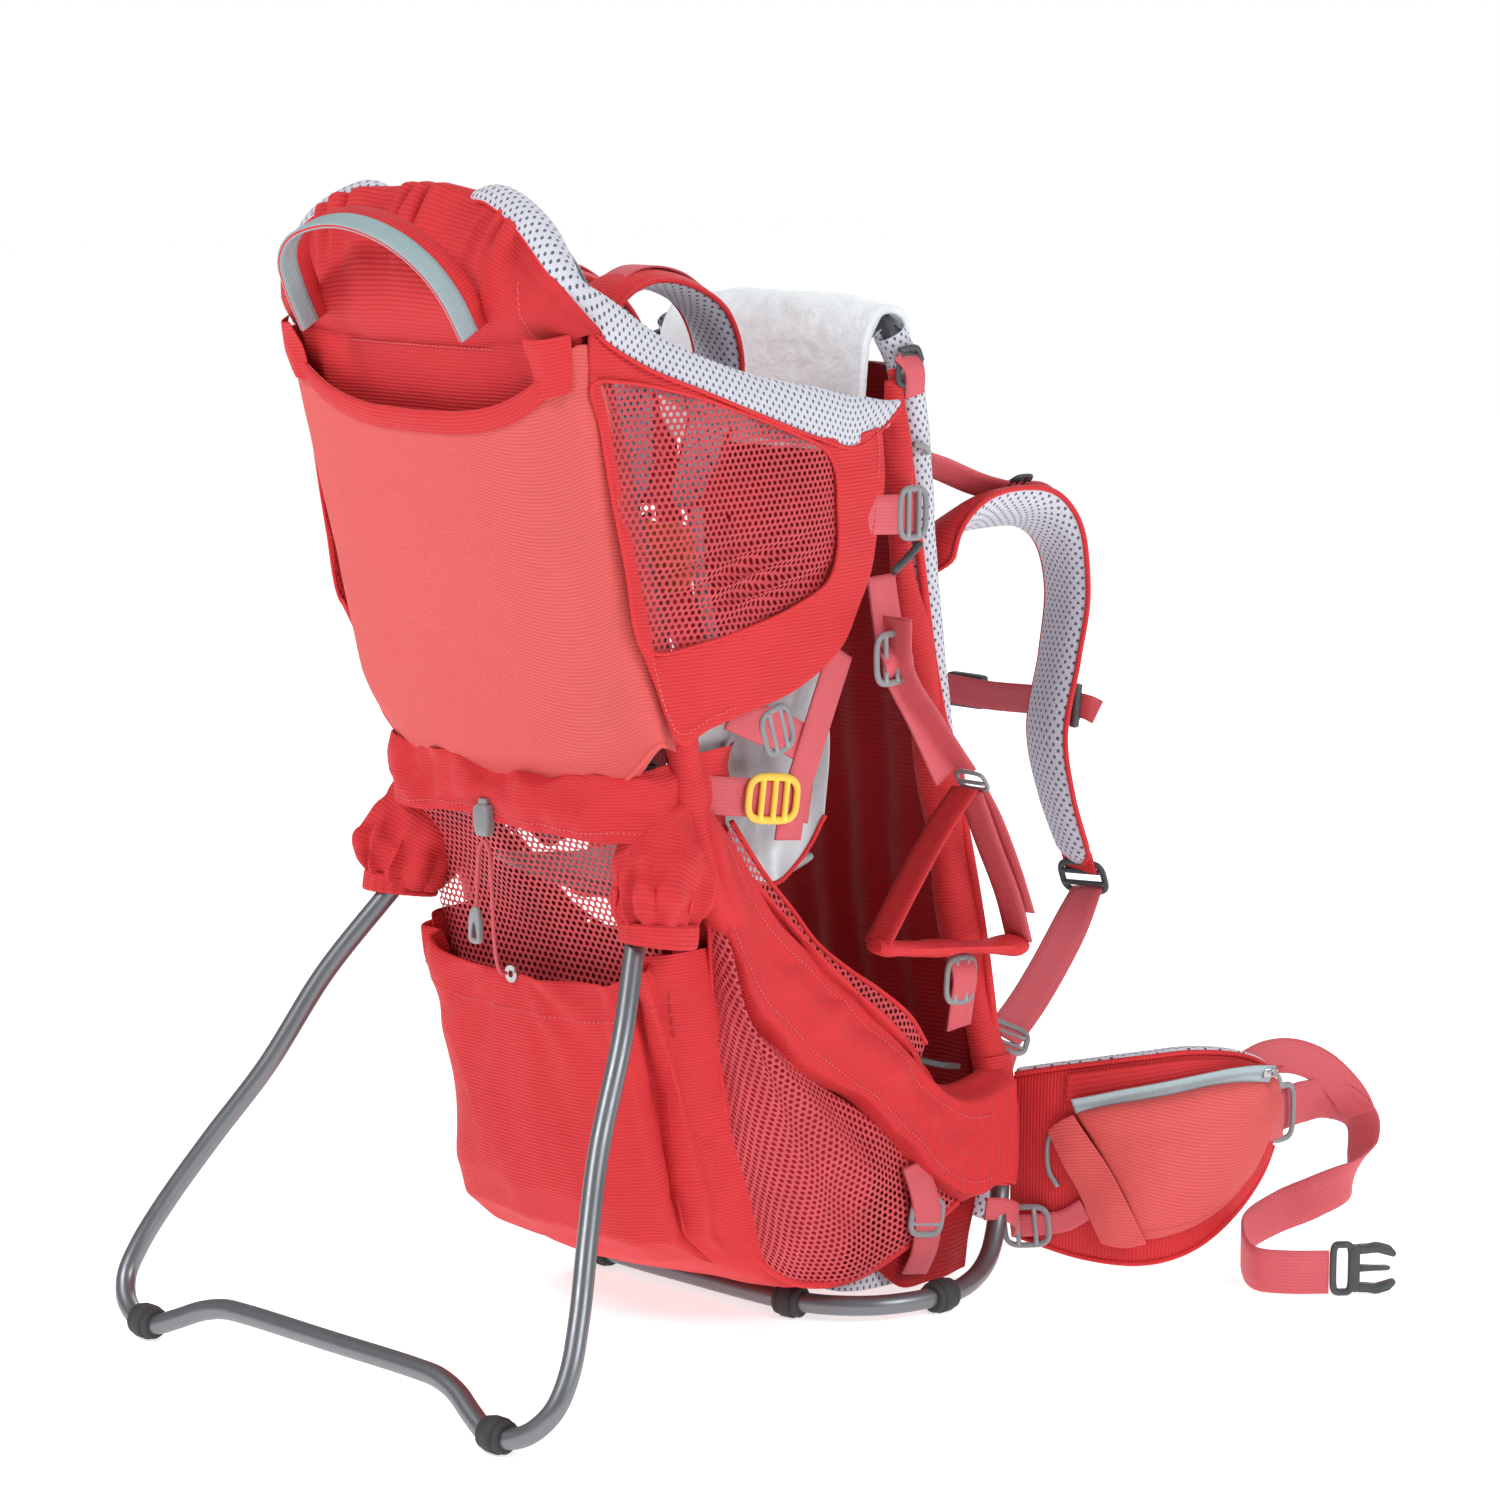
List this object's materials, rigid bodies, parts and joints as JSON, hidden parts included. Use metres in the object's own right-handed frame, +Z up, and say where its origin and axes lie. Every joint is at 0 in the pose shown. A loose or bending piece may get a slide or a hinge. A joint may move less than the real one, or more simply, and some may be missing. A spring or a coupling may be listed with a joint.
{
  "type": "baby carrier backpack",
  "caption": "Framed child carrier backpack with folding kickstand, padded cockpit, storage bag, shoulder harness and hip belt",
  "frame": {"origin": "middle of the footprint on the ground, measured without the draw cord", "axes": "+X the wearer's right, +Y the wearer's front, +Z up; the kickstand's feet are towards -Y"},
  "size_m": [0.6651, 0.774, 0.7183],
  "materials": {
    "tube_aluminium": "dark grey anodised satin",
    "grey_plastic": "moulded satin",
    "dark_plastic": "moulded satin",
    "rubber_feet": "matte",
    "steel_bolt": "zinc plated",
    "red_fabric": "finely ribbed polyester",
    "coral_fabric": "two-tone twill",
    "dark_red_fabric": "smooth lining",
    "pink_webbing": "ribbed webbing",
    "white_mesh": "spacer mesh",
    "grey_fleece": "brushed fleece",
    "silver_liner": "coated lining",
    "grey_webbing": "woven tape",
    "orange_plastic": "moulded"
  },
  "bodies": {
    "root": {"frame_base_bow": "tube_aluminium", "frame_upright_right": "tube_aluminium", "frame_upright_left": "tube_aluminium", "frame_top_bar": "tube_aluminium", "seat_frame_right": "tube_aluminium", "seat_frame_left": "tube_aluminium", "headrest_hoop": "tube_aluminium", "pivot_bracket_right": "grey_plastic", "pivot_bracket_left": "grey_plastic", "cord_lock_body": "grey_plastic", "drawcord_pull_tab": "grey_plastic", "cord_grommet": "dark_plastic", "base_foot_rear_right": "rubber_feet", "base_foot_rear_left": "rubber_feet", "base_foot_side_right": "rubber_feet", "base_foot_side_left": "rubber_feet", "pivot_bolt_right": "steel_bolt", "pivot_bolt_left": "steel_bolt", "storage_bag": "red_fabric", "headrest_pad": "red_fabric", "side_wing_right": "red_fabric", "side_wing_left": "red_fabric", "kickstand_sleeve_right": "red_fabric", "kickstand_sleeve_left": "red_fabric", "harness_strap_right": "red_fabric", "harness_strap_left": "red_fabric", "stash_pocket": "coral_fabric", "back_panel": "dark_red_fabric", "lower_webbing_right": "pink_webbing", "lower_webbing_left": "pink_webbing", "stirrup_strap_right": "pink_webbing", "stirrup_strap_left": "pink_webbing", "drawcord_tail": "pink_webbing", "back_mesh_pad": "white_mesh", "backrest_pad": "white_mesh", "chin_pad": "grey_fleece", "seat_pan": "silver_liner", "haul_handle": "grey_webbing", "harness_buckle": "orange_plastic"},
    "kickstand": {"kickstand_tube": "tube_aluminium", "kickstand_foot_right": "rubber_feet", "kickstand_foot_left": "rubber_feet"},
    "shoulder_harness": {"shoulder_yoke": "red_fabric", "shoulder_strap_right": "red_fabric", "shoulder_strap_left": "red_fabric", "sternum_strap": "pink_webbing", "sternum_buckle": "dark_plastic"},
    "hip_fin_right": {"hip_fin_right": "red_fabric", "hip_pocket_right": "red_fabric", "waist_strap_right": "pink_webbing", "buckle_male": "dark_plastic"},
    "hip_fin_left": {"hip_fin_left": "red_fabric", "hip_pocket_left": "red_fabric", "waist_strap_left": "pink_webbing", "buckle_female": "dark_plastic"},
    "zip_right": {"zip_slider_right": "grey_plastic"},
    "zip_left": {"zip_slider_left": "grey_plastic"},
    "stirrup_right": {"stirrup_right": "pink_webbing"},
    "stirrup_left": {"stirrup_left": "pink_webbing"},
    "cord_button": {"cord_lock_button": "dark_plastic"}
  },
  "joints": [
    {"name": "kickstand_fold", "type": "hinge", "parent": "root", "child": "kickstand", "pos_m": [0, -0.176, 0.328], "axis": [1, 0, 0], "range_deg": [0, 48], "deforming": ["kickstand_sleeve_right", "kickstand_sleeve_left"]},
    {"name": "shoulder_harness_slide", "type": "slide", "parent": "root", "child": "shoulder_harness", "axis": [0, -0.117, 0.9931], "range_m": [0, 0.06], "deforming": ["lower_webbing_right", "lower_webbing_left"]},
    {"name": "hip_fin_right_swing", "type": "hinge", "parent": "root", "child": "hip_fin_right", "pos_m": [0.106, 0.139, 0.09], "axis": [0, 0, 1], "range_deg": [-20, 12]},
    {"name": "zip_right_slide", "type": "slide", "parent": "hip_fin_right", "child": "zip_right", "axis": [-0.3206, -0.9472, 0], "range_m": [0, 0.075]},
    {"name": "stirrup_right_swing", "type": "hinge", "parent": "root", "child": "stirrup_right", "pos_m": [0.137, 0.058, 0.345], "axis": [1, 0, 0], "range_deg": [-25, 25]},
    {"name": "hip_fin_left_swing", "type": "hinge", "parent": "root", "child": "hip_fin_left", "pos_m": [-0.106, 0.139, 0.09], "axis": [0, 0, -1], "range_deg": [-20, 12]},
    {"name": "zip_left_slide", "type": "slide", "parent": "hip_fin_left", "child": "zip_left", "axis": [0.3206, -0.9472, 0], "range_m": [0, 0.075]},
    {"name": "stirrup_left_swing", "type": "hinge", "parent": "root", "child": "stirrup_left", "pos_m": [-0.137, 0.058, 0.345], "axis": [1, 0, 0], "range_deg": [-25, 25]},
    {"name": "cord_lock_press", "type": "slide", "parent": "root", "child": "cord_button", "axis": [0, 0, -1], "range_m": [0, 0.003], "stiffness_N_per_m": 300}
  ]
}
